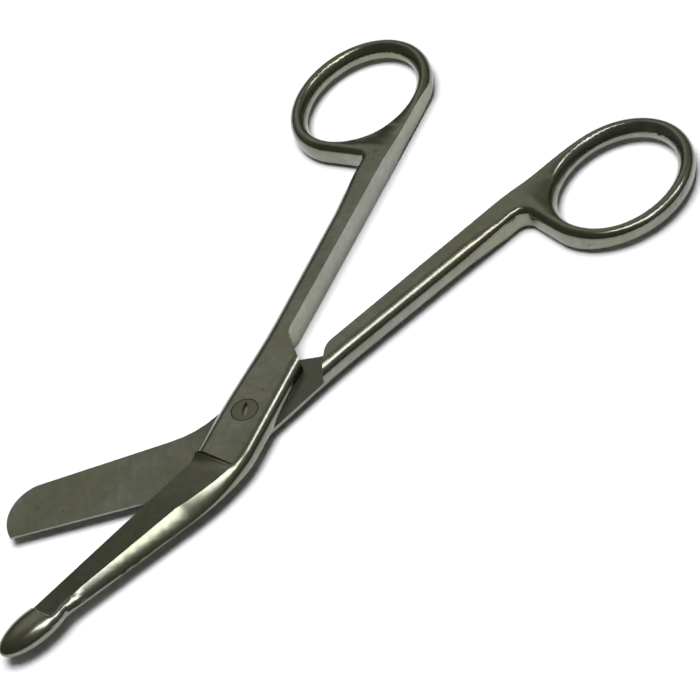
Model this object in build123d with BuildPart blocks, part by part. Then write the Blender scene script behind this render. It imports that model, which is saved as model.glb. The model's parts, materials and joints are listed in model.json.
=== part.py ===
from build123d import *
import os
from math import cos, radians, sin, sqrt, tan

# Angled bandage scissors: two forged halves that lap at a pivot screw. Millimetres and degrees.
# Each half is drawn in its own frame: x runs along the inner flat from the pivot towards the finger ring,
# y points away from the other half's handle, and z = 0 is the plane where the two laps meet.

# How far the handles stand open as the scissors lie
open_angle = 24.9
# Gap between the two inner flats when closed, and between the two lapped faces
flat_gap = 0.30
lap_gap = 0.06

# Shank: a bar with a flat inner side and a full round outer side
shank_height = 5.0
shank_width_at_waist = 4.36
shank_width_at_ring = 4.75
shank_waist = 20.0
shank_start = 8.0
round_fade_length = 10.0

# Finger ring: an oval of rounded bar, thinner than the shank
ring_reach = 76.0
ring_offset = 12.3
ring_inner_length = 24.7
ring_inner_width = 19.2
ring_bar_width = 3.06
ring_bar_height = 3.7
ring_lean = -8.5
ring_edge_round = 1.45
ring_lead_in = 20.0
ring_lead_angle = 7.0
height_fade_lead = 18.0
height_fade_length = 11.0
probe_half_notch_radius = 1.2
plain_half_notch_radius = 2.2

# Lap plate round the pivot, and the steps that the other half's lap closes against
lap_half_width = 5.25
lap_flare_end = -4.0
step_reach = 18.15
step_angle = 42.3
step_corner_radius = 4.0
stop_gap = 0.35
neck_radius = 4.0

# Blade with the probe tip: bend and gentle curve of its spine, its cutting edge and the bead's crest
probe_spine_angle = 16.2
probe_spine_bend = -9.8
probe_spine_reach = 2.6
probe_curve_angle = 15.2
probe_curve_middle = -17.7
probe_curve_reach = 4.5
probe_edge_angle = 20.8
probe_heel = -10.0
probe_blade_end = -49.5
probe_crest = 3.1
probe_crest_end = 1.4
probe_end_height = 1.6
probe_length = 13.8
probe_width = 6.5
probe_thickness = 4.0
probe_centre_x = -48.2
probe_centre_y = 16.35
probe_centre_z = 0.6
probe_lean = 25.0
# The probe is ground away on the lapped side as far as the plain blade reaches, and on top down to the bevel
probe_inner_start = 45.0
probe_grind_end = 37.7
probe_grind_depth = 0.15
probe_grind_radius = 1.0
probe_bevel_angle = 18.5

# Plain blade
plain_spine_angle = -29.3
plain_spine_bend = -7.9
plain_spine_reach = 3.8
plain_edge_angle = -34.1
plain_heel = -14.3
plain_blade_end = -42.3
plain_crest = 3.0
plain_crest_end = 2.4
plain_end_height = 1.8
plain_tip_radius = 7.4

# Bead along a spine: its slope where the bevel cuts it
crest_slope = 22.0
# Heel: reach of the bend on both sides, and the leaned step with the run-out that the grinding wheel leaves
heel_bend_reach = 1.6
heel_lean = 12.0
bevel_lead = 0.5
run_out_rise = 0.9
run_out_length = 2.4
heel_length = 9.0
# Flat left along a cutting edge
edge_land = 0.40

# Pivot screw
screw_head_radius = 2.32
screw_head_height = 1.3
screw_radius = 1.5
screw_clearance = 0.05
head_clearance = 0.09
slot_length = 3.6
slot_width = 0.95
slot_depth = 0.9
slot_turn = 28.0

# Values that follow
half_height = shank_height / 2
flat = flat_gap / 2
lap_face = lap_gap / 2
full_round = half_height - lap_face
beyond = 2 * ring_reach
lean_reach = lap_half_width * sin(radians(heel_lean))
shank_end = ring_reach - ring_lead_in
height_fade_start = ring_reach - height_fade_lead
height_fade_end = height_fade_start + height_fade_length
# Weights that make a curve through three corners a true quarter of an oval, or the part of it below a crest
quarter_oval = (1.0, sqrt(0.5), 1.0)
bead_oval = (1.0, cos(radians(90 - crest_slope) / 2), 1.0)
# The bevel cuts the lap plate's round side here
heel_crest = full_round * (1 - sin(radians(crest_slope)))
heel_top = lap_face + full_round * cos(radians(crest_slope))


def section_plane(x, lean=0.0):
    """Plane across a half at x: y to the right, z up, leaned about the upright through its middle."""
    turn = radians(lean)
    return Plane(origin=(x, 0, 0), x_dir=(sin(turn), cos(turn), 0), z_dir=(cos(turn), -sin(turn), 0))


def stations(start, end, count):
    """Evenly spaced values from start to end."""
    return [start + (end - start) * index / (count - 1) for index in range(count)]


def blend(x, start, end, first, last):
    """Runs smoothly from first at start to last at end."""
    share = min(max((x - start) / (end - start), 0.0), 1.0)
    return first + (last - first) * share * share * (3 - 2 * share)


def bent_line(x, level, bend, angle, reach):
    """Line at a level that turns by an angle at the bend, spread evenly over a reach on both sides."""
    run = bend - x
    if run < -reach:
        return level
    if run > reach:
        return level + run * tan(radians(angle))
    return level + (run + reach) ** 2 / (4 * reach) * tan(radians(angle))


def outer_side(x):
    """Reach of a half's outer side at x: it widens from the waist towards the ring and towards the lap."""
    towards_ring = shank_width_at_ring - shank_width_at_waist
    flare = blend(x, shank_waist, lap_flare_end, 0.0, lap_half_width - shank_width_at_waist)
    return shank_width_at_waist + flare + towards_ring * max(x - shank_waist, 0) / (shank_end - shank_waist)


def shank_section(x, corner):
    """Section of a shank: flat inner side, round outer side."""
    with BuildSketch(section_plane(x)) as section:
        with Locations((flat, 0)):
            Rectangle(outer_side(x) - flat, shank_height, align=(Align.MIN, Align.CENTER))
        fillet(section.vertices().group_by(Axis.X)[-1], corner)
    return section.sketch


def lap_section(plane, spine, edge):
    """Section of a lap plate: flat lapped face, both sides full round."""
    edge_top = (edge - full_round, half_height)
    spine_top = (spine + full_round, half_height)
    with BuildSketch(plane) as section:
        with BuildLine():
            Line((spine, lap_face), (edge, lap_face))
            Bezier((edge, lap_face), (edge, half_height), edge_top, weights=quarter_oval)
            Line(edge_top, spine_top)
            Bezier(spine_top, (spine, half_height), (spine, lap_face), weights=quarter_oval)
        make_face()
    return section.sketch


def blade_section(plane, spine, edge, land, crest, top):
    """Section of a blade: flat lapped face, cutting edge, ground bevel and the bead along the spine."""
    shoulder = top - crest * tan(radians(crest_slope))
    with BuildSketch(plane) as section:
        with BuildLine():
            Polyline((spine, lap_face), (edge, lap_face), (edge, lap_face + land), (spine + crest, top))
            Bezier((spine + crest, top), (spine, shoulder), (spine, lap_face), weights=bead_oval)
        make_face()
    return section.sketch


def ring_edge(direction):
    """Point of the ring's outer oval whose outward normal points along direction."""
    a = ring_inner_length / 2 + ring_bar_width
    b = ring_inner_width / 2 + ring_bar_width
    turn = radians(direction - ring_lean)
    reach = sqrt((a * cos(turn)) ** 2 + (b * sin(turn)) ** 2)
    offset = Vector(a * a * cos(turn) / reach, b * b * sin(turn) / reach).rotate(Axis.Z, ring_lean)
    return Vector(ring_reach, ring_offset) + offset


def finger_ring(notch_radius):
    """Finger ring with the stub of shank that runs into it."""
    near = ring_edge(180)
    touch = ring_edge(ring_lead_angle - 90)
    lead_drop = (touch.X - shank_end) * tan(radians(ring_lead_angle))
    ring_drop = half_height - ring_bar_height / 2
    fade_middle = ((height_fade_start + height_fade_end) / 2, half_height - ring_drop / 2)
    with BuildPart() as ring:
        with BuildSketch():
            with Locations((ring_reach, ring_offset)):
                Ellipse(
                    ring_inner_length / 2 + ring_bar_width,
                    ring_inner_width / 2 + ring_bar_width,
                    rotation=ring_lean,
                )
            with BuildLine():
                Polyline(
                    (shank_end, shank_width_at_ring),
                    (near.X, shank_width_at_ring),
                    (near.X, near.Y),
                    (ring_reach, ring_offset),
                    (touch.X, touch.Y),
                    (shank_end, touch.Y - lead_drop),
                    close=True,
                )
            make_face()
            with Locations((ring_reach, ring_offset)):
                Ellipse(ring_inner_length / 2, ring_inner_width / 2, rotation=ring_lean, mode=Mode.SUBTRACT)
        extrude(amount=half_height, both=True)
        uprights = ring.edges().filter_by(Axis.Z).filter_by_position(Axis.X, shank_end + 0.1, near.X + 0.1)
        fillet(uprights.sort_by(Axis.Y)[0], notch_radius)
        # The top and bottom sink in a gentle S from the shank's height to the ring's
        with BuildSketch(Plane.XZ):
            with BuildLine():
                TangentArc((height_fade_start, half_height), fade_middle, tangent=(1, 0))
                TangentArc((height_fade_end, ring_bar_height / 2), fade_middle, tangent=(-1, 0))
                Polyline(
                    (height_fade_end, ring_bar_height / 2),
                    (beyond, ring_bar_height / 2),
                    (beyond, shank_height),
                    (height_fade_start, shank_height),
                    (height_fade_start, half_height),
                )
            make_face()
            mirror(about=Plane.XZ)
        extrude(amount=beyond, both=True, mode=Mode.SUBTRACT)
        walls = ring.faces().filter_by(lambda face: abs(face.normal_at().Z) < 0.1).sort_by(Axis.X)[1:]
        end_rims = ring.faces().sort_by(Axis.X)[0].edges()
        fillet(walls.edges() - walls.edges().filter_by(Axis.Z) - end_rims, ring_edge_round)
        # The inner side is ground flat
        with Locations((0, flat, 0)):
            Box(2 * beyond, beyond, beyond, align=(Align.MIN, Align.MAX, Align.CENTER), mode=Mode.SUBTRACT)
    return ring.part


def handle(notch_radius):
    """Finger ring and shank, with the step and the neck where the lap starts."""
    round_fade = shank_end - round_fade_length
    wall_run = 1 / tan(radians(step_angle))
    shoulder_reach = step_reach - stop_gap / sin(radians(step_angle))
    lap_width = 2 * lap_half_width
    ring = finger_ring(notch_radius)
    flare = [shank_section(x, full_round) for x in stations(shank_start, shank_waist, 5)]
    fade = [shank_section(round_fade, full_round), shank_section(shank_end, ring_edge_round)]
    lap_start = lap_section(section_plane(shank_start), -lap_half_width, lap_half_width)
    with BuildPart() as bar:
        add(ring)
        loft(flare)
        loft([flare[-1], fade[0]], ruled=True)
        loft(fade, ruled=True)
        # Below the lapped face the bar stops at the step
        with BuildSketch(Plane.XY.offset(lap_face)):
            with BuildLine():
                Polyline(
                    (0, flat - lap_width),
                    (step_reach + wall_run * lap_width, flat - lap_width),
                    (step_reach - wall_run * lap_width, flat + lap_width),
                    (0, flat + lap_width),
                    close=True,
                )
            make_face()
        extrude(amount=-beyond, mode=Mode.SUBTRACT)
        corner = bar.edges().filter_by(Axis.Z).sort_by_distance((step_reach, flat, -half_height / 2))[0]
        fillet(corner, step_corner_radius)
    with BuildPart() as shoulder:
        extrude(lap_start, amount=step_reach - shank_start + neck_radius)
        with Locations((0, 2 * flat, 0)):
            Box(beyond, beyond, beyond, align=(Align.CENTER, Align.MIN, Align.CENTER), mode=Mode.SUBTRACT)
        with BuildSketch():
            with BuildLine():
                Polyline(
                    (shoulder_reach, flat),
                    (shoulder_reach - wall_run * lap_width, flat - lap_width),
                    (step_reach + lap_width, flat - lap_width),
                    (step_reach + lap_width, flat),
                    close=True,
                )
            neck = make_face()
            fillet(neck.vertices().sort_by_distance((shoulder_reach, flat))[0], neck_radius)
        extrude(amount=half_height, mode=Mode.SUBTRACT)
    with BuildPart() as whole:
        add(bar.part)
        add(shoulder.part)
    return whole.part


def probe_spine(x):
    """Spine of the half with the probe: a bend behind the lap, then a gentle curve."""
    bend = bent_line(x, -lap_half_width, probe_spine_bend, probe_spine_angle, probe_spine_reach)
    return bend + bent_line(x, 0.0, probe_curve_middle, probe_curve_angle, probe_curve_reach)


def plain_spine(x):
    """Spine of the half with the plain blade: one gentle bend."""
    return bent_line(x, -lap_half_width, plain_spine_bend, plain_spine_angle, plain_spine_reach)


def lap_and_blade(
    spine_line, bend_start, bend_end, heel, edge_angle, blade_end, crest, crest_end, end_height
):
    """Lap plate and blade, drawn section by section from the shank to the blade's end."""
    step = heel - bevel_lead
    run_out_end = step - run_out_length

    def sides(x, lean):
        """Distances along the leaned section from its middle to the spine and to the edge."""
        turn = radians(lean)
        spine, edge = -lap_half_width, lap_half_width
        for _ in range(8):
            at_edge = x + edge * sin(turn)
            spine = spine_line(x + spine * sin(turn)) / cos(turn)
            edge = bent_line(at_edge, outer_side(at_edge), heel, edge_angle, heel_bend_reach) / cos(turn)
        return spine, edge

    def plate(x):
        """Section of the lap plate at x."""
        lean = heel_lean * max((bend_start - x) / (bend_start - step), 0.0)
        return lap_section(section_plane(x, lean), *sides(x, lean))

    def blade(x):
        """Section of the blade at x, with the run-out of the grinding wheel behind the step."""
        offset = heel_crest + min((step - x) / (step - bend_end), 1.0) * (crest - heel_crest)
        offset += max((bend_end - x) / (bend_end - blade_end), 0.0) * (crest_end - crest)
        top = heel_top + (step - x) / (step - blade_end) * (end_height - heel_top)
        land = edge_land + run_out_rise * max(1 - (step - x) / run_out_length, 0.0) ** 2
        return blade_section(section_plane(x, heel_lean), *sides(x, heel_lean), land, offset, top)

    with BuildPart() as blank:
        loft([plate(x) for x in stations(shank_start, bend_start, 7)], ruled=True)
        loft([plate(x) for x in stations(bend_start, step, 7)], ruled=True)
        loft([blade(x) for x in stations(step, run_out_end, 5)], ruled=True)
        loft([blade(x) for x in stations(run_out_end, bend_end, 9)], ruled=True)
        loft([blade(x) for x in stations(bend_end, blade_end, 12)], ruled=True)
    return blank.part


# Upper half, with the probe blade
probe_handle = handle(probe_half_notch_radius)
probe_blank = lap_and_blade(
    probe_spine,
    probe_spine_bend + probe_spine_reach + lean_reach,
    probe_curve_middle - probe_curve_reach,
    probe_heel,
    probe_edge_angle,
    probe_blade_end,
    probe_crest,
    probe_crest_end,
    probe_end_height,
)
with BuildPart() as probe_tip:
    Sphere(1)
    scale(by=(probe_length / 2, probe_width / 2, probe_thickness / 2))
tip_place = Location((probe_centre_x, probe_centre_y, probe_centre_z), (0, 0, 180 - probe_lean))
grind_plane = Plane(
    origin=(probe_heel, lap_half_width, lap_face + edge_land - probe_grind_depth),
    x_dir=Vector(-1, 0, 0).rotate(Axis.Z, -probe_edge_angle),
    z_dir=Vector(0, 1, -tan(radians(probe_bevel_angle))).rotate(Axis.Z, -probe_edge_angle),
)
with BuildPart() as probe:
    add(probe_tip.part.moved(tip_place))
    with BuildSketch(Plane.XY.offset(lap_face)):
        Circle(probe_inner_start)
    extrude(amount=-beyond, mode=Mode.SUBTRACT)
    with BuildSketch(grind_plane) as grind:
        with Locations((probe_grind_end, 0)):
            Rectangle(probe_length, probe_length, align=(Align.MAX, Align.MIN))
        fillet(grind.vertices().sort_by_distance((probe_grind_end, 0))[0], probe_grind_radius)
    extrude(amount=probe_length, both=True, mode=Mode.SUBTRACT)
with BuildPart() as upper_half:
    add(probe_handle)
    add(probe_blank)
    add(probe.part)
    # The screw turns in a clear hole, its head in a counterbore
    Cylinder(screw_radius + screw_clearance, beyond, mode=Mode.SUBTRACT)
    with Locations((0, 0, half_height - screw_head_height)):
        Cylinder(
            screw_head_radius + head_clearance,
            beyond,
            align=(Align.CENTER, Align.CENTER, Align.MIN),
            mode=Mode.SUBTRACT,
        )
with BuildPart() as probe_blade_half:
    add(upper_half.part.moved(Location((0, 0, half_height), (0, 0, open_angle / 2))))
probe_blade_half.part.label = "probe_blade_half"

# Lower half, with the plain blade; it is drawn upright and then turned over
plain_handle = handle(plain_half_notch_radius)
plain_blank = lap_and_blade(
    plain_spine,
    plain_spine_bend + plain_spine_reach + lean_reach,
    plain_heel - heel_length,
    plain_heel,
    plain_edge_angle,
    plain_blade_end,
    plain_crest,
    plain_crest_end,
    plain_end_height,
)
tip_start = plain_blade_end / 2
# The end of the plain blade is rounded towards its spine
with BuildSketch() as tip_outline:
    with BuildLine():
        Polyline(
            (tip_start, plain_spine(tip_start) - flat),
            (plain_blade_end, plain_spine(plain_blade_end) - flat),
            (plain_blade_end, lap_half_width),
            (tip_start, lap_half_width),
            close=True,
        )
    kept = make_face()
    fillet(kept.vertices().sort_by(Axis.Y)[0], plain_tip_radius)
with BuildPart() as lower_half:
    add(plain_handle)
    add(plain_blank)
    with BuildSketch():
        with Locations((tip_start, 0)):
            Rectangle(beyond / 2, beyond, align=(Align.MAX, Align.CENTER))
        add(tip_outline.sketch, mode=Mode.SUBTRACT)
    extrude(amount=half_height, mode=Mode.SUBTRACT)
    # The screw is threaded into this half
    Cylinder(screw_radius, beyond, mode=Mode.SUBTRACT)
with BuildPart() as plain_blade_half:
    add(lower_half.part.moved(Location((0, 0, half_height), (180, 0, open_angle / 2))))
plain_blade_half.part.label = "plain_blade_half"

# Pivot screw: flush head with a leaf-shaped slot, end flush with the underside of the lower half
with BuildPart() as pivot_screw:
    Cylinder(screw_radius, shank_height, align=(Align.CENTER, Align.CENTER, Align.MIN))
    with Locations((0, 0, shank_height - screw_head_height)):
        Cylinder(screw_head_radius, screw_head_height, align=(Align.CENTER, Align.CENTER, Align.MIN))
    with BuildSketch(Plane.XY.offset(shank_height)):
        with BuildLine(Plane.XY.offset(shank_height).rotated((0, 0, slot_turn))):
            ThreePointArc((-slot_length / 2, 0), (0, slot_width / 2), (slot_length / 2, 0))
            ThreePointArc((slot_length / 2, 0), (0, -slot_width / 2), (-slot_length / 2, 0))
        make_face()
    extrude(amount=-slot_depth, mode=Mode.SUBTRACT)
pivot_screw.part.label = "pivot_screw"

os.makedirs("parts", exist_ok=True)
export_step(probe_blade_half.part, "parts/probe_blade_half.step")
export_step(plain_blade_half.part, "parts/plain_blade_half.step")
export_step(pivot_screw.part, "parts/pivot_screw.step")
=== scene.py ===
"""Looks of a pair of angled bandage scissors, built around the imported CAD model."""

import json
import logging
import math
from dataclasses import dataclass, field, replace
from typing import Any

import bmesh
import bpy
from mathutils import Matrix, Vector

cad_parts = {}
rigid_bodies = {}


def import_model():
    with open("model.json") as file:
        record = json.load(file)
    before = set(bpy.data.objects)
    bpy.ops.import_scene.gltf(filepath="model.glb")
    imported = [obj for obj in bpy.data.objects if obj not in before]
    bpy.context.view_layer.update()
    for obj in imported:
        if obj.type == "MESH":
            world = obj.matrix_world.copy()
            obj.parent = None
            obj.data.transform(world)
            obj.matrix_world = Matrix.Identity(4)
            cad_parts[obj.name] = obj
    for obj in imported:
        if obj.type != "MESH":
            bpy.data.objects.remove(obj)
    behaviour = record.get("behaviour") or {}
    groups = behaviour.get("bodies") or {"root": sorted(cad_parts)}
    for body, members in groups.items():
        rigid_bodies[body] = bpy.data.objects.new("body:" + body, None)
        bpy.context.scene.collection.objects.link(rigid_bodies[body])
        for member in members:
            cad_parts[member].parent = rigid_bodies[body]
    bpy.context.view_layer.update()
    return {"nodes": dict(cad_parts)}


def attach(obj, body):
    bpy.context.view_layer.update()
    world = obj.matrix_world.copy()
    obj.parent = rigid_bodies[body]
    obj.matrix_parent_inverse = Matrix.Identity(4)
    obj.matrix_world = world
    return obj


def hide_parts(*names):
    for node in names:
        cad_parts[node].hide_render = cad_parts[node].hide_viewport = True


LOG = logging.getLogger("scissors")
MM = 0.001
IMAGE_PIXELS = 700
SENSOR_MM = 36.0
SHANK_TURN = 12.45  # each shank's angle to the middle line in the photograph's pose, in degrees
WHITE = (1.0, 1.0, 1.0, 1.0)
# A Mix node's number and colour sockets share their names, so they go by their places
NUMBER_A, NUMBER_B, NUMBER_OUT = 2, 3, 0
COLOUR_A, COLOUR_B, COLOUR_OUT = 6, 7, 2


def linear(hex_colour: str) -> tuple[float, float, float, float]:
    """Turn an sRGB hex colour into linear RGBA.

    Args:
        hex_colour: six hex digits, such as "8a8f7c".

    Returns:
        Linear red, green and blue with full alpha.
    """
    values = [int(hex_colour[i : i + 2], 16) / 255 for i in (0, 2, 4)]
    red, green, blue = (v / 12.92 if v <= 0.04045 else ((v + 0.055) / 1.055) ** 2.4 for v in values)
    return red, green, blue, 1.0


def add_node(
    tree: bpy.types.NodeTree, kind: str, links: dict[Any, Any] | None = None, **settings: Any
) -> bpy.types.Node:
    """Add a node with its settings and links.

    Args:
        tree: the tree that gets the node.
        kind: the node's Blender type.
        links: input name or index to a value, or to the output socket that feeds it.
        settings: the node's own attributes.

    Returns:
        The new node.
    """
    node = tree.nodes.new(kind)
    for name, value in settings.items():
        setattr(node, name, value)
    for key, value in (links or {}).items():
        socket = node.inputs[key]
        if isinstance(value, bpy.types.NodeSocket):
            tree.links.new(value, socket)
        else:
            socket.default_value = value
    return node


def direction(azimuth: float, elevation: float) -> Vector:
    """Unit vector towards an azimuth and elevation in degrees."""
    turn, lift = math.radians(azimuth), math.radians(elevation)
    return Vector((math.cos(lift) * math.cos(turn), math.cos(lift) * math.sin(turn), math.sin(lift)))


@dataclass(frozen=True)
class Tint:
    """A colour that takes over from another one as a value goes from its start to where the tint is full."""

    colour: str
    start: float = 0.0
    full: float = 1.0
    amount: float = 1.0
    soft: bool = False

    def over(
        self, tree: bpy.types.NodeTree, below: Any, value: bpy.types.NodeSocket
    ) -> bpy.types.NodeSocket:
        """Lay the tint over a colour.

        Args:
            tree: the tree of a material or of the world.
            below: that colour, or the socket that gives it.
            value: the value that the tint follows.

        Returns:
            The tinted colour.
        """
        strength = add_node(
            tree,
            "ShaderNodeMapRange",
            {"Value": value, "From Min": self.start, "From Max": self.full, "To Max": self.amount},
            interpolation_type="SMOOTHSTEP" if self.soft else "LINEAR",
        )
        links = {"Factor": strength.outputs["Result"], COLOUR_A: below, COLOUR_B: linear(self.colour)}
        return add_node(tree, "ShaderNodeMix", links, data_type="RGBA").outputs[COLOUR_OUT]


@dataclass(frozen=True)
class SatinSteel:
    """Stainless steel, forged, ground across and satin polished: a soft grey mirror with faint cross marks.

    The real marks are about 0.1 mm apart. They are drawn coarser, so that they show in the render.
    """

    name: str
    shank_turn: float
    blade_turn: float
    pattern_start: float
    light: str = "91948b"
    dark: Tint = Tint("818478")
    olive: Tint = Tint("868a70", amount=0.7)
    brown: Tint = Tint("898376", start=0.3, amount=0.45)
    mottle: Tint = Tint("767870", amount=0.4)
    mark: Tint = Tint("74756a", start=0.42, full=0.72, amount=0.3)
    speck: Tint = Tint("4e4e46", start=0.79, full=0.85, amount=0.5)
    # painted shade on the lapped face beside the upper half's plate, towards the pivot
    lap_painted_shade: Tint = Tint("606057", amount=0.75)
    # painted shade in the screw's slot and in the gap round its head
    slot_painted_shade: Tint = Tint("6a695e")
    rim_painted_shade: Tint = Tint("161613")
    mottle_mm: float = 1.3
    small_cloud_mm: float = 6.0
    brown_cloud_mm: float = 12.0
    large_cloud_mm: float = 24.0
    speck_mm: float = 0.9
    cloud_edges: tuple[float, float] = (0.36, 0.64)
    brown_layer: float = 20.0
    blade_to_shank_mm: tuple[float, float] = (-9.0, -5.0)
    mark_spacing_mm: float = 0.55
    mark_length_mm: float = 8.0
    mark_depth_mm: float = 0.1
    mark_bump: float = 0.004
    mark_heights: tuple[float, float] = (0.25, 0.75)
    roughness: float = 0.20
    roughness_spread: float = 0.03
    lapped_height_mm: float = 0.0
    lapped_edge_mm: tuple[float, float] = (0.01, 0.03)
    lapped_roughness: float = 0.12
    # where along the lapped face the painted shade starts and where it is full
    lap_shade_span_mm: tuple[float, float] = (-9.0, -2.0)
    # below this height, and outside that radius, the screw is darkened as painted shade
    slot_shade_below_mm: float = 0.0
    rim_shade_outside_mm: float = 0.0
    slot_fade_mm: float = 0.04
    rim_fade_mm: float = 0.06

    def clouds(
        self, tree: bpy.types.NodeTree, place: bpy.types.NodeSocket, size_mm: float, layer: float = 0.0
    ) -> bpy.types.NodeSocket:
        """Add soft clouds, spread from 0 to 1.

        Args:
            tree: the material's tree.
            place: Object coordinates.
            size_mm: size of one cloud.
            layer: sets these clouds apart from others.

        Returns:
            The clouds' strength.
        """
        noise = add_node(
            tree,
            "ShaderNodeTexNoise",
            {"Vector": place, "W": self.pattern_start + layer, "Scale": 1 / (size_mm * MM), "Detail": 2.0},
            noise_dimensions="4D",
        )
        low, high = self.cloud_edges
        spread = add_node(
            tree,
            "ShaderNodeMapRange",
            {"Value": noise.outputs["Fac"], "From Min": low, "From Max": high},
            interpolation_type="SMOOTHSTEP",
        )
        return spread.outputs["Result"]

    def stretch_marks(
        self, tree: bpy.types.NodeTree, place: bpy.types.NodeSocket, turn: float
    ) -> bpy.types.NodeSocket:
        """Add grinding marks that run across a stretch of the steel.

        Args:
            tree: the material's tree.
            place: Object coordinates.
            turn: direction of that stretch in degrees.

        Returns:
            The marks' height.
        """
        spacing, length = self.mark_spacing_mm * MM, self.mark_length_mm * MM
        turned = add_node(
            tree, "ShaderNodeMapping", {"Vector": place, "Rotation": (0, 0, math.radians(-turn))}
        )
        stretched = add_node(
            tree,
            "ShaderNodeMapping",
            {"Vector": turned.outputs["Vector"], "Scale": (1 / spacing, 1 / length, 1 / length)},
        )
        noise = add_node(
            tree,
            "ShaderNodeTexNoise",
            {"Vector": stretched.outputs["Vector"], "Scale": 1.0, "Detail": 3.0, "Roughness": 0.6},
        )
        return noise.outputs["Fac"]

    def marks(self, tree: bpy.types.NodeTree, place: bpy.types.NodeSocket) -> bpy.types.NodeSocket:
        """Add the piece's grinding marks: across the shank behind the pivot, across the blade in front of it.

        Args:
            tree: the material's tree.
            place: Object coordinates.

        Returns:
            The marks' height.
        """
        along = add_node(tree, "ShaderNodeSeparateXYZ", {"Vector": place}).outputs["X"]
        blade, shank = self.blade_to_shank_mm
        on_shank = add_node(
            tree, "ShaderNodeMapRange", {"Value": along, "From Min": blade * MM, "From Max": shank * MM}
        )
        links = {
            "Factor": on_shank.outputs["Result"],
            NUMBER_A: self.stretch_marks(tree, place, self.blade_turn),
            NUMBER_B: self.stretch_marks(tree, place, self.shank_turn),
        }
        return add_node(tree, "ShaderNodeMix", links, data_type="FLOAT").outputs[NUMBER_OUT]

    def tinted(
        self, tree: bpy.types.NodeTree, place: bpy.types.NodeSocket, marks: bpy.types.NodeSocket
    ) -> bpy.types.NodeSocket:
        """Colour the bare steel: clouds of several sizes, mottling, darker marks and a few dark specks.

        Args:
            tree: the material's tree.
            place: Object coordinates.
            marks: the grinding marks' height.

        Returns:
            The steel's colour.
        """
        specks = add_node(
            tree, "ShaderNodeTexNoise", {"Vector": place, "Scale": 1 / (self.speck_mm * MM), "Detail": 0.0}
        )
        browned = self.clouds(tree, place, self.brown_cloud_mm, self.brown_layer)
        colour: Any = linear(self.light)
        for tint, pattern in (
            (self.dark, self.clouds(tree, place, self.small_cloud_mm)),
            (self.olive, self.clouds(tree, place, self.large_cloud_mm)),
            (self.brown, browned),
            (self.mottle, self.clouds(tree, place, self.mottle_mm)),
            (self.mark, marks),
            (self.speck, specks.outputs["Fac"]),
        ):
            colour = tint.over(tree, colour, pattern)
        return colour

    def lapped(
        self,
        tree: bpy.types.NodeTree,
        place: bpy.types.NodeSocket,
        colour: bpy.types.NodeSocket,
        rough: bpy.types.NodeSocket,
    ) -> tuple[bpy.types.NodeSocket, bpy.types.NodeSocket]:
        """Dress the face that the other half slides on, which is ground flat and left duller, with painted
        shade towards the pivot beside the other half's plate.

        Args:
            tree: the material's tree.
            place: Object coordinates.
            colour: the steel's colour.
            rough: its roughness.

        Returns:
            The colour with that painted shade, and the roughness with that face.
        """
        axes = add_node(tree, "ShaderNodeSeparateXYZ", {"Vector": place}).outputs
        height = add_node(
            tree, "ShaderNodeMath", {0: axes["Z"], 1: -self.lapped_height_mm * MM}, operation="ADD"
        )
        distance = add_node(tree, "ShaderNodeMath", {0: height.outputs[0]}, operation="ABSOLUTE").outputs[0]
        near, far = self.lapped_edge_mm
        limits = {"From Min": near * MM, "From Max": far * MM, "To Min": 1.0, "To Max": 0.0}
        face = add_node(tree, "ShaderNodeMapRange", {"Value": distance, **limits}).outputs["Result"]
        duller = add_node(
            tree, "ShaderNodeMath", {0: face, 1: self.lapped_roughness, 2: rough}, operation="MULTIPLY_ADD"
        )
        # Towards the pivot, beside the upper half's plate, the face is darkened: painted shade
        bright, shade_full = self.lap_shade_span_mm
        limits = {"From Min": bright * MM, "From Max": shade_full * MM}
        beside_plate = add_node(tree, "ShaderNodeMapRange", {"Value": axes["X"], **limits}).outputs["Result"]
        lap_shade = add_node(tree, "ShaderNodeMath", {0: face, 1: beside_plate}, operation="MULTIPLY").outputs[0]
        return self.lap_painted_shade.over(tree, colour, lap_shade), duller.outputs[0]

    def painted_recess_shade(
        self, tree: bpy.types.NodeTree, place: bpy.types.NodeSocket, colour: bpy.types.NodeSocket
    ) -> tuple[bpy.types.NodeSocket, bpy.types.NodeSocket]:
        """Paint shade into the screw's slot and as a dark line round its head, where the recess and the gap
        would shade them.

        Args:
            tree: the material's tree.
            place: Object coordinates.
            colour: the steel's colour.

        Returns:
            The colour with the painted shade, and how metallic the surface still is.
        """
        height = add_node(tree, "ShaderNodeSeparateXYZ", {"Vector": place}).outputs["Z"]
        flat = add_node(
            tree, "ShaderNodeVectorMath", {0: place, 1: (1.0, 1.0, 0.0)}, operation="MULTIPLY"
        ).outputs[0]
        radius = add_node(tree, "ShaderNodeVectorMath", {0: flat}, operation="LENGTH").outputs["Value"]
        limits = {
            "From Min": self.rim_shade_outside_mm * MM,
            "From Max": (self.rim_shade_outside_mm + self.rim_fade_mm) * MM,
        }
        rim = add_node(tree, "ShaderNodeMapRange", {"Value": radius, **limits}).outputs["Result"]
        limits = {
            "From Min": self.slot_shade_below_mm * MM,
            "From Max": (self.slot_shade_below_mm + self.slot_fade_mm) * MM,
            "To Min": 1.0,
            "To Max": 0.0,
        }
        slot = add_node(tree, "ShaderNodeMapRange", {"Value": height, **limits}).outputs["Result"]
        # Painted shade: the slot and the head's rim are darkened and made less metallic
        colour = self.slot_painted_shade.over(tree, colour, slot)
        colour = self.rim_painted_shade.over(tree, colour, rim)
        shaded = add_node(tree, "ShaderNodeMath", {0: rim, 1: slot}, operation="MAXIMUM").outputs[0]
        still_metallic = add_node(tree, "ShaderNodeMath", {0: 1.0, 1: shaded}, operation="SUBTRACT").outputs[0]
        return colour, still_metallic

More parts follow.
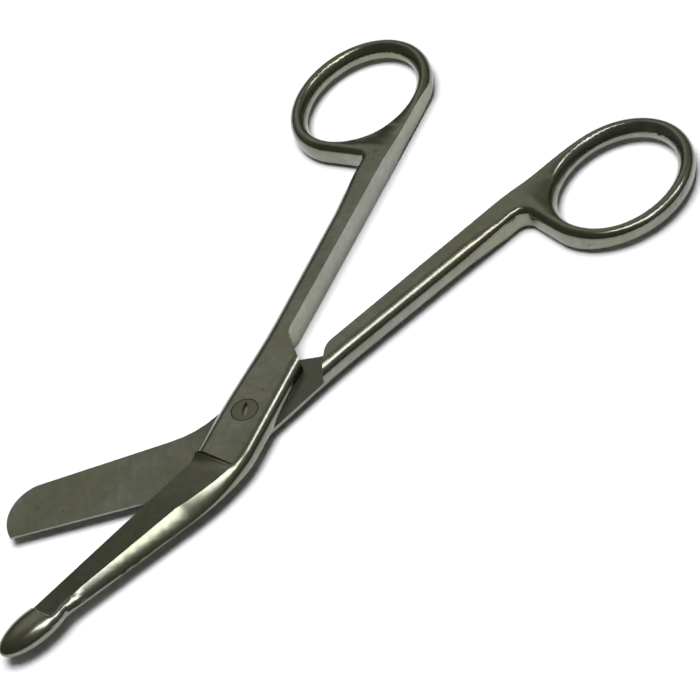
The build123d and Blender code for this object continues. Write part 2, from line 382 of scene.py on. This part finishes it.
    def material(self) -> bpy.types.Material:
        """Build the material.

        Returns:
            A new node material.
        """
        material = bpy.data.materials.new(self.name)
        material.use_nodes = True
        tree = material.node_tree
        tree.nodes.clear()
        place = add_node(tree, "ShaderNodeTexCoord").outputs["Object"]
        marks = self.marks(tree, place)
        colour = self.tinted(tree, place, marks)
        low, high = self.mark_heights
        limits = {
            "From Min": low,
            "From Max": high,
            "To Min": self.roughness - self.roughness_spread,
            "To Max": self.roughness + self.roughness_spread,
        }
        rough = add_node(tree, "ShaderNodeMapRange", {"Value": marks, **limits}).outputs["Result"]
        metallic: Any = 1.0
        if self.lapped_height_mm:
            colour, rough = self.lapped(tree, place, colour, rough)
        # Painted shade in the screw's slot and round its head
        if self.slot_shade_below_mm:
            colour, metallic = self.painted_recess_shade(tree, place, colour)
        bump = add_node(
            tree,
            "ShaderNodeBump",
            {"Height": marks, "Strength": self.mark_bump, "Distance": self.mark_depth_mm * MM},
        ).outputs["Normal"]
        surface = add_node(
            tree,
            "ShaderNodeBsdfPrincipled",
            {"Base Color": colour, "Metallic": metallic, "Roughness": rough, "Normal": bump},
        )
        add_node(tree, "ShaderNodeOutputMaterial", {"Surface": surface.outputs["BSDF"]})
        return material


@dataclass(frozen=True)
class WhiteTable:
    """Satin white laminate table top: it keeps the scissors' soft shadow and shows white in the steel."""

    name: str = "satin_white_laminate"
    colour: str = "f6f6f6"
    roughness: float = 0.45
    fade_start: float = 0.2
    fade_end: float = 0.6

    def material(self) -> bpy.types.Material:
        """Build the material.

        Returns:
            A new node material.
        """
        material = bpy.data.materials.new(self.name)
        material.use_nodes = True
        tree = material.node_tree
        tree.nodes.clear()
        path = add_node(tree, "ShaderNodeLightPath").outputs
        seen = path["Is Camera Ray"]
        for ray in ("Is Glossy Ray", "Is Transmission Ray"):
            seen = add_node(tree, "ShaderNodeMath", {0: seen, 1: path[ray]}, operation="MAXIMUM").outputs[0]
        links = {"Factor": seen, COLOUR_A: linear(self.colour), COLOUR_B: WHITE}
        colour = add_node(tree, "ShaderNodeMix", links, data_type="RGBA").outputs[COLOUR_OUT]
        satin = add_node(
            tree, "ShaderNodeBsdfPrincipled", {"Base Color": colour, "Roughness": self.roughness}
        ).outputs["BSDF"]
        # Far from the scissors, where the lamp no longer reaches, the table is plain white background
        place = add_node(tree, "ShaderNodeTexCoord").outputs["Object"]
        distance = add_node(tree, "ShaderNodeVectorMath", {0: place}, operation="LENGTH").outputs["Value"]
        far = add_node(
            tree,
            "ShaderNodeMapRange",
            {"Value": distance, "From Min": self.fade_start, "From Max": self.fade_end},
            interpolation_type="SMOOTHSTEP",
        ).outputs["Result"]
        faded = add_node(tree, "ShaderNodeMath", {0: far, 1: seen}, operation="MULTIPLY").outputs[0]
        background = add_node(tree, "ShaderNodeEmission", {"Color": WHITE, "Strength": 1.0})
        surface = add_node(
            tree, "ShaderNodeMixShader", {0: faded, 1: satin, 2: background.outputs["Emission"]}
        )
        add_node(tree, "ShaderNodeOutputMaterial", {"Surface": surface.outputs["Shader"]})
        return material


@dataclass
class BurnishTree:
    """Geometry Nodes that weld a copy of a CAD piece, smooth its shading between real edges and dress it."""

    weld_mm: float = 0.004
    edge_degrees: float = 34.0
    sockets: dict[str, str] = field(default_factory=dict)

    def build(self) -> bpy.types.NodeTree:
        """Build the tree and remember its sockets' identifiers.

        Returns:
            The node group.
        """
        tree = bpy.data.node_groups.new("burnished_piece", "GeometryNodeTree")
        tree.interface.new_socket("Geometry", in_out="OUTPUT", socket_type="NodeSocketGeometry")
        for name, kind in (
            ("Geometry", "NodeSocketGeometry"),
            ("Weld distance", "NodeSocketFloat"),
            ("Edge angle", "NodeSocketFloat"),
            ("Finish", "NodeSocketMaterial"),
        ):
            socket = tree.interface.new_socket(name, in_out="INPUT", socket_type=kind)
            self.sockets[name] = socket.identifier
        given = add_node(tree, "NodeGroupInput").outputs
        welded = add_node(
            tree,
            "GeometryNodeMergeByDistance",
            {"Geometry": given["Geometry"], "Distance": given["Weld distance"]},
        )
        angle = add_node(tree, "GeometryNodeInputMeshEdgeAngle")
        soft = add_node(
            tree,
            "FunctionNodeCompare",
            {0: angle.outputs["Unsigned Angle"], 1: given["Edge angle"]},
            data_type="FLOAT",
            operation="LESS_THAN",
        )
        faces = add_node(
            tree,
            "GeometryNodeSetShadeSmooth",
            {"Geometry": welded.outputs["Geometry"], "Shade Smooth": True},
            domain="FACE",
        )
        edges = add_node(
            tree,
            "GeometryNodeSetShadeSmooth",
            {"Geometry": faces.outputs["Geometry"], "Shade Smooth": soft.outputs["Result"]},
            domain="EDGE",
        )
        real = add_node(tree, "GeometryNodeRealizeInstances", {"Geometry": edges.outputs["Geometry"]})
        dressed = add_node(
            tree,
            "GeometryNodeSetMaterial",
            {"Geometry": real.outputs["Geometry"], "Material": given["Finish"]},
        )
        add_node(tree, "NodeGroupOutput", {"Geometry": dressed.outputs["Geometry"]})
        return tree


@dataclass(frozen=True)
class PolishedJoint:
    """A place where two forms of one forging are polished into each other by hand."""

    centre_mm: tuple[float, float, float]
    radius_mm: float
    lowest_mm: float
    lowest_fade_mm: float = 0.3
    fill_mm: float = 0.3
    fill_azimuth: float = -102.5
    fill_facing: float = 0.4
    fineness_mm: float = 0.15
    refinements: int = 5
    passes: int = 45
    pass_strength: float = 0.5
    creaseless_from: float = 0.2

    def weight(self, point: Vector) -> float:
        """Find how strongly a point is polished.

        Args:
            point: the point, in metres.

        Returns:
            Its weight, from 0 outside the joint to 1 at its centre.
        """
        reach = (point / MM - Vector(self.centre_mm)).length / self.radius_mm
        rise = (point.z / MM - self.lowest_mm) / self.lowest_fade_mm
        return max(1 - reach * reach, 0.0) ** 2 * min(max(rise, 0.0), 1.0)

    def refine(self, work: bmesh.types.BMesh) -> None:
        """Split the long edges at the joint until the mesh is fine enough to polish.

        Args:
            work: the piece's mesh, which is changed.
        """
        centre = Vector(self.centre_mm) * MM
        for _ in range(self.refinements):
            long_edges = [
                edge
                for edge in work.edges
                if edge.calc_length() > self.fineness_mm * MM
                and ((edge.verts[0].co + edge.verts[1].co) / 2 - centre).length < self.radius_mm * MM
            ]
            if not long_edges:
                break
            bmesh.ops.subdivide_edges(work, edges=long_edges, cuts=1)
            bmesh.ops.triangulate(work, faces=[face for face in work.faces if len(face.verts) > 3])

    def polish(self, mesh: bpy.types.Mesh) -> None:
        """Fill the dip between the two forms and smooth the joint.

        Args:
            mesh: the piece's mesh, which is changed.
        """
        work = bmesh.new()
        work.from_mesh(mesh)
        self.refine(work)
        near = [(vertex, self.weight(vertex.co)) for vertex in work.verts]
        near = [(vertex, weight) for vertex, weight in near if weight > 0]
        work.normal_update()
        outwards = direction(self.fill_azimuth, 0)
        for vertex, weight in near:
            facing = min(max(vertex.normal.dot(outwards) / self.fill_facing, 0.0), 1.0)
            vertex.co = vertex.co + vertex.normal * facing * weight * self.fill_mm * MM
        for _ in range(self.passes):
            moved = []
            for vertex, weight in near:
                others = [edge.other_vert(vertex).co for edge in vertex.link_edges]
                middle = sum(others, Vector()) / len(others)
                moved.append(vertex.co.lerp(middle, self.pass_strength * weight))
            for (vertex, _), place in zip(near, moved):
                vertex.co = place
        for edge in work.edges:
            if any(self.weight(vertex.co) > self.creaseless_from for vertex in edge.verts):
                edge.smooth = True
        work.to_mesh(mesh)
        work.free()


@dataclass(frozen=True)
class RingBevel:
    """The inner rim of a finger ring, ground from a round to a slope that eases the finger's way in."""

    shank_turn: float
    side: int
    centre_mm: tuple[float, float] = (76.0, 12.3)
    half_length_mm: float = 12.35
    half_width_mm: float = 9.6
    lean: float = -8.5
    edge_round_mm: float = 1.45
    slope_height_mm: float = 1.75
    roundness: float = 0.5
    middle_mm: float = 2.5
    search_steps: int = 6

    def foot(self, x: float, y: float) -> Vector:
        """Find the nearest point of the ring's oval hole.

        Args:
            x: place along the oval's length, from its middle.
            y: place across it.

        Returns:
            The nearest point of the oval, in the same frame.
        """
        a, b = self.half_length_mm, self.half_width_mm
        turn = math.atan2(a * y, b * x)
        for _ in range(self.search_steps):
            sine, cosine = math.sin(turn), math.cos(turn)
            error = (a * a - b * b) * cosine * sine - x * a * sine + y * b * cosine
            slope = (a * a - b * b) * (cosine * cosine - sine * sine) - x * a * cosine - y * b * sine
            turn -= error / slope
        return Vector((a * math.cos(turn), b * math.sin(turn), 0.0))

    def grind(self, mesh: bpy.types.Mesh) -> None:
        """Turn the upper round of the hole's rim into the slope.

        Args:
            mesh: the half's mesh, which is changed.
        """
        mirror = Matrix.Diagonal((1, self.side, 1, 1))
        lean = Matrix.Rotation(math.radians(self.lean), 4, "Z")
        hole = Matrix.Translation((*self.centre_mm, 0.0)) @ lean
        half_turn = Matrix.Rotation(math.radians(self.shank_turn), 4, "Z")
        to_model = half_turn @ mirror @ hole
        to_hole = to_model.inverted()
        a, b = self.half_length_mm, self.half_width_mm
        for vertex in mesh.vertices:
            place = to_hole @ (vertex.co / MM)
            if place.z < self.middle_mm or place.xy.length > 2 * a:
                continue
            foot = self.foot(place.x, place.y)
            outwards = Vector((foot.x / a**2, foot.y / b**2, 0.0)).normalized()
            depth = max((Vector((place.x, place.y, 0.0)) - foot).dot(outwards), 0.0)
            if depth > self.edge_round_mm:
                continue
            level = 1 - depth / self.edge_round_mm
            rise = math.sqrt(1 - level * level)
            reach = self.edge_round_mm * ((1 - self.roundness) * rise + self.roundness * (1 - level))
            drop = (self.slope_height_mm - self.edge_round_mm) * (1 - rise)
            moved = place + outwards * (reach - depth) - Vector((0.0, 0.0, drop))
            vertex.co = (to_model @ moved) * MM


def flat_areas(work: bmesh.types.BMesh, tolerance: float = 0.15) -> list[float]:
    """Measure the flat that each face belongs to.

    Args:
        work: the piece's mesh.
        tolerance: angle in degrees up to which faces count as one plane.

    Returns:
        For each face, the area of all faces in one plane with it that it reaches over smooth edges.
    """
    same_plane = math.cos(math.radians(tolerance))
    areas = [0.0] * len(work.faces)
    seen: set[int] = set()
    for start in work.faces:
        if start.index in seen:
            continue
        seen.add(start.index)
        group, waiting = [], [start]
        while waiting:
            face = waiting.pop()
            group.append(face)
            for edge in face.edges:
                for other in edge.link_faces:
                    level = other.normal.dot(start.normal) > same_plane
                    if level and edge.smooth and other.index not in seen:
                        seen.add(other.index)
                        waiting.append(other)
        total = sum(face.calc_area() for face in group)
        for face in group:
            areas[face.index] = total
    return areas


def smooth_fan(first: bmesh.types.BMLoop, done: set[bmesh.types.BMLoop]) -> list[bmesh.types.BMLoop]:
    """Gather the face corners at one vertex that smooth edges join.

    Args:
        first: the corner to start from.
        done: the corners gathered so far, which grows.

    Returns:
        The corners that share a shading normal.
    """
    vertex = first.vert
    fan, waiting = [], [first]
    done.add(first)
    while waiting:
        loop = waiting.pop()
        fan.append(loop)
        for edge in (loop.edge, loop.link_loop_prev.edge):
            if not edge.smooth or len(edge.link_faces) != 2:
                continue
            for other in edge.link_loops:
                beside = other if other.vert is vertex else other.link_loop_next
                if beside not in done:
                    done.add(beside)
                    waiting.append(beside)
    return fan


def true_normals(mesh: bpy.types.Mesh, flat_area_mm2: float = 24.0) -> None:
    """Set shading normals that follow the exact round and flat surfaces, whatever the triangles' shapes.

    Each triangle counts at a corner by the sine of its angle there over the lengths of its two sides, which
    is exact on a ball and steady on a bead. Where a corner touches a large flat, it takes that flat's
    direction, because the rounds run into the flats without a crease.

    Args:
        mesh: the piece's mesh, which is changed.
        flat_area_mm2: flats from this area on count.
    """
    work = bmesh.new()
    work.from_mesh(mesh)
    areas = flat_areas(work)
    places = {
        loop: mesh.polygons[face.index].loop_start + corner
        for face in work.faces
        for corner, loop in enumerate(face.loops)
    }
    normals = [Vector((0, 0, 1))] * len(mesh.loops)
    done: set[bmesh.types.BMLoop] = set()
    for vertex in work.verts:
        for first in vertex.link_loops:
            if first in done:
                continue
            fan = smooth_fan(first, done)
            total, flat, flat_size = Vector(), None, flat_area_mm2 * MM * MM
            for loop in fan:
                area = areas[loop.face.index]
                if area > flat_size:
                    flat, flat_size = loop.face.normal.copy(), area
                one = loop.link_loop_next.vert.co - vertex.co
                two = loop.link_loop_prev.vert.co - vertex.co
                sizes = one.length_squared * two.length_squared
                if sizes > 0:
                    total += one.cross(two) / sizes
            normal = flat if flat is not None else total.normalized()
            for loop in fan:
                normals[places[loop]] = normal
    work.free()
    mesh.normals_split_custom_set([tuple(normal) for normal in normals])


@dataclass
class SteelPiece:
    """One forged or turned steel piece of the scissors, shown by a burnished copy of its CAD node."""

    node: str
    body: str
    slot: str
    finish: SatinSteel
    joints: tuple[PolishedJoint, ...] = ()
    ring: RingBevel | None = None

    def build(
        self, source: bpy.types.Object, tree: bpy.types.NodeTree, burnish: BurnishTree
    ) -> bpy.types.Object:
        """Copy the CAD node, burnish the copy and put it on its body.

        Args:
            source: the CAD node's object.
            tree: the burnishing node group.
            burnish: that group's sizes and sockets.

        Returns:
            The finished piece.
        """
        piece = bpy.data.objects.new(f"{self.node}_steel", source.data.copy())
        bpy.context.scene.collection.objects.link(piece)
        piece.data.materials.clear()
        modifier = piece.modifiers.new("burnish", "NODES")
        modifier.node_group = tree
        modifier[burnish.sockets["Weld distance"]] = burnish.weld_mm * MM
        modifier[burnish.sockets["Edge angle"]] = math.radians(burnish.edge_degrees)
        modifier[burnish.sockets["Finish"]] = self.finish.material()
        evaluated = piece.evaluated_get(bpy.context.evaluated_depsgraph_get())
        mesh = bpy.data.meshes.new_from_object(evaluated)
        piece.modifiers.clear()
        piece.data = mesh
        for joint in self.joints:
            joint.polish(mesh)
        if self.ring:
            self.ring.grind(mesh)
        true_normals(mesh)
        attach(piece, self.body)
        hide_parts(self.node)
        return piece


@dataclass(frozen=True)
class Softbox:
    """A rectangular studio lamp, placed by the direction that it shines from.

    One that is for the table lights it and its shadows, and the others show only in the steel.
    """

    name: str
    azimuth: float
    elevation: float
    width: float
    height: float
    radiance: float
    for_table: bool = False
    distance: float = 0.9
    colour: str = "fbfcff"

    def build(self, target: Vector) -> None:
        """Hang the lamp so that it faces the target.

        Args:
            target: the point that it faces.
        """
        data = bpy.data.lights.new(self.name, "AREA")
        data.shape = "RECTANGLE"
        data.size, data.size_y = self.width, self.height
        data.energy = self.radiance * math.pi * self.width * self.height
        data.color = linear(self.colour)[:3]
        lamp = bpy.data.objects.new(self.name, data)
        back = direction(self.azimuth, self.elevation)
        lamp.location = target + back * self.distance
        lamp.rotation_euler = back.to_track_quat("Z", "Y").to_euler()
        lamp.visible_glossy = not self.for_table
        lamp.visible_diffuse = self.for_table
        bpy.context.scene.collection.objects.link(lamp)


@dataclass(frozen=True)
class Studio:
    """White table, soft lamps and the dim room round them."""

    table_size: float = 6.0
    table_gap_mm: float = 0.02
    lamp_target: tuple[float, float, float] = (0.02, -0.007, 0.0)
    room_dark: str = "5a5a50"
    room_light: Tint = Tint("86867c", start=-0.7, full=0.6, soft=True)
    far_wall: Tint = Tint("b6b6ad", start=0.84, full=0.985, soft=True)
    far_wall_azimuth: float = 51.0
    far_wall_elevation: float = 46.0
    low_near_side: str = "3e3e37"
    low_far_side: Tint = Tint("5c5c55", start=-0.4, full=0.4, soft=True)
    low_end: float = 0.12
    upper_start: float = 0.55
    cast: Tint = Tint("404040")
    lamps: tuple[Softbox, ...] = (
        Softbox("overhead_softbox", 115, 86, width=0.55, height=0.55, radiance=10.3, for_table=True),
        Softbox("strip_softbox", -72, 68, width=0.12, height=0.55, radiance=7.4),
        Softbox("corner_softbox", -50, 57, width=0.16, height=0.16, radiance=6.6),
        Softbox("small_softbox", -31, 46, width=0.15, height=0.15, radiance=6.8),
    )

    def build(self) -> None:
        """Lay the table, hang the lamps and colour the room."""
        half, top = self.table_size / 2, -self.table_gap_mm * MM
        mesh = bpy.data.meshes.new("table")
        corners = [(-half, -half), (half, -half), (half, half), (-half, half)]
        mesh.from_pydata([(x, y, top) for x, y in corners], [], [(0, 1, 2, 3)])
        mesh.materials.append(WhiteTable().material())
        table = bpy.data.objects.new("table", mesh)
        bpy.context.scene.collection.objects.link(table)
        for lamp in self.lamps:
            lamp.build(Vector(self.lamp_target))
        self.room()

    def room(self) -> None:
        """Colour the world: a dim room with one lighter wall, and a darker one for the light it casts."""
        world = bpy.data.worlds.new("dim_room")
        bpy.context.scene.world = world
        world.use_nodes = True
        tree = world.node_tree
        tree.nodes.clear()
        view = add_node(tree, "ShaderNodeTexCoord").outputs["Generated"]
        axes = add_node(tree, "ShaderNodeSeparateXYZ", {"Vector": view}).outputs
        wall = direction(self.far_wall_azimuth, self.far_wall_elevation)
        towards_wall = add_node(tree, "ShaderNodeVectorMath", {0: view, 1: wall}, operation="DOT_PRODUCT")
        upper = self.room_light.over(tree, linear(self.room_dark), axes["X"])
        upper = self.far_wall.over(tree, upper, towards_wall.outputs["Value"])
        low = self.low_far_side.over(tree, linear(self.low_near_side), axes["Y"])
        raised = add_node(
            tree,
            "ShaderNodeMapRange",
            {"Value": axes["Z"], "From Min": self.low_end, "From Max": self.upper_start},
            interpolation_type="SMOOTHSTEP",
        )
        links = {"Factor": raised.outputs["Result"], COLOUR_A: low, COLOUR_B: upper}
        colour = add_node(tree, "ShaderNodeMix", links, data_type="RGBA").outputs[COLOUR_OUT]
        casting = add_node(tree, "ShaderNodeLightPath").outputs["Is Diffuse Ray"]
        colour = self.cast.over(tree, colour, casting)
        glow = add_node(tree, "ShaderNodeBackground", {"Color": colour, "Strength": 1.0})
        add_node(tree, "ShaderNodeOutputWorld", {"Surface": glow.outputs["Background"]})


@dataclass(frozen=True)
class PhotoCamera:
    """Camera at the photograph's viewing angle, as fitted to the mirrored handles."""

    target_mm: tuple[float, float, float] = (19.922, -7.052, 2.5)
    distance_mm: float = 450.0
    azimuth: float = -128.44
    elevation: float = 45.46
    roll: float = -20.59
    focal_pixels: float = 2654.28
    clip_start: float = 0.01

    def build(self) -> None:
        """Place the camera and make it the scene's."""
        back = direction(self.azimuth, self.elevation)
        level = (-back).cross(Vector((0, 0, 1))).normalized()
        upright = level.cross(-back)
        turn = math.radians(self.roll)
        right = level * math.cos(turn) + upright * math.sin(turn)
        up = upright * math.cos(turn) - level * math.sin(turn)
        data = bpy.data.cameras.new("photo_camera")
        data.sensor_width = SENSOR_MM
        data.lens = self.focal_pixels / IMAGE_PIXELS * SENSOR_MM
        data.clip_start = self.clip_start
        camera = bpy.data.objects.new("photo_camera", data)
        place = (Vector(self.target_mm) + back * self.distance_mm) * MM
        columns = Matrix((right, up, back)).transposed().to_4x4()
        camera.matrix_world = Matrix.Translation(place) @ columns
        bpy.context.scene.collection.objects.link(camera)
        bpy.context.scene.camera = camera


PIECES = (
    SteelPiece(
        "probe_blade_half",
        "probe_half",
        "satin_steel",
        SatinSteel(
            "upper_half_satin_steel",
            shank_turn=SHANK_TURN,
            blade_turn=-12.6,
            pattern_start=1.0,
            mark=replace(SatinSteel.mark, amount=0.15),
        ),
        joints=(PolishedJoint(centre_mm=(-45.8, 2.9, 3.5), radius_mm=3.8, lowest_mm=2.42),),
        ring=RingBevel(SHANK_TURN, side=1),
    ),
    SteelPiece(
        "plain_blade_half",
        "plain_half",
        "satin_steel",
        SatinSteel(
            "lower_half_satin_steel",
            shank_turn=-SHANK_TURN,
            blade_turn=-44.0,
            pattern_start=2.0,
            lapped_height_mm=2.47,
        ),
        ring=RingBevel(-SHANK_TURN, side=-1),
    ),
    SteelPiece(
        "pivot_screw",
        "plain_half",
        "screw_steel",
        SatinSteel(
            "screw_satin_steel",
            shank_turn=30.0,
            blade_turn=30.0,
            pattern_start=3.0,
            light="7c7d75",
            dark=replace(SatinSteel.dark, colour="6e6f66"),
            olive=replace(SatinSteel.olive, colour="727460"),
            brown=replace(SatinSteel.brown, colour="746d62"),
            slot_shade_below_mm=4.93,
            rim_shade_outside_mm=2.17,
        ),
    ),
)


def main() -> None:
    """Build the scissors, the studio and the camera."""
    logging.basicConfig(level=logging.INFO)
    for thing in list(bpy.data.objects):
        bpy.data.objects.remove(thing)
    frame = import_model()
    burnish = BurnishTree()
    tree = burnish.build()
    for piece in PIECES:
        built = piece.build(frame["nodes"][piece.node], tree, burnish)
        LOG.info("%s: %d faces", built.name, len(built.data.polygons))
    Studio().build()
    PhotoCamera().build()
    bpy.context.scene.view_settings.view_transform = "Standard"
    bpy.context.view_layer.update()


if __name__ == "__main__":
    main()
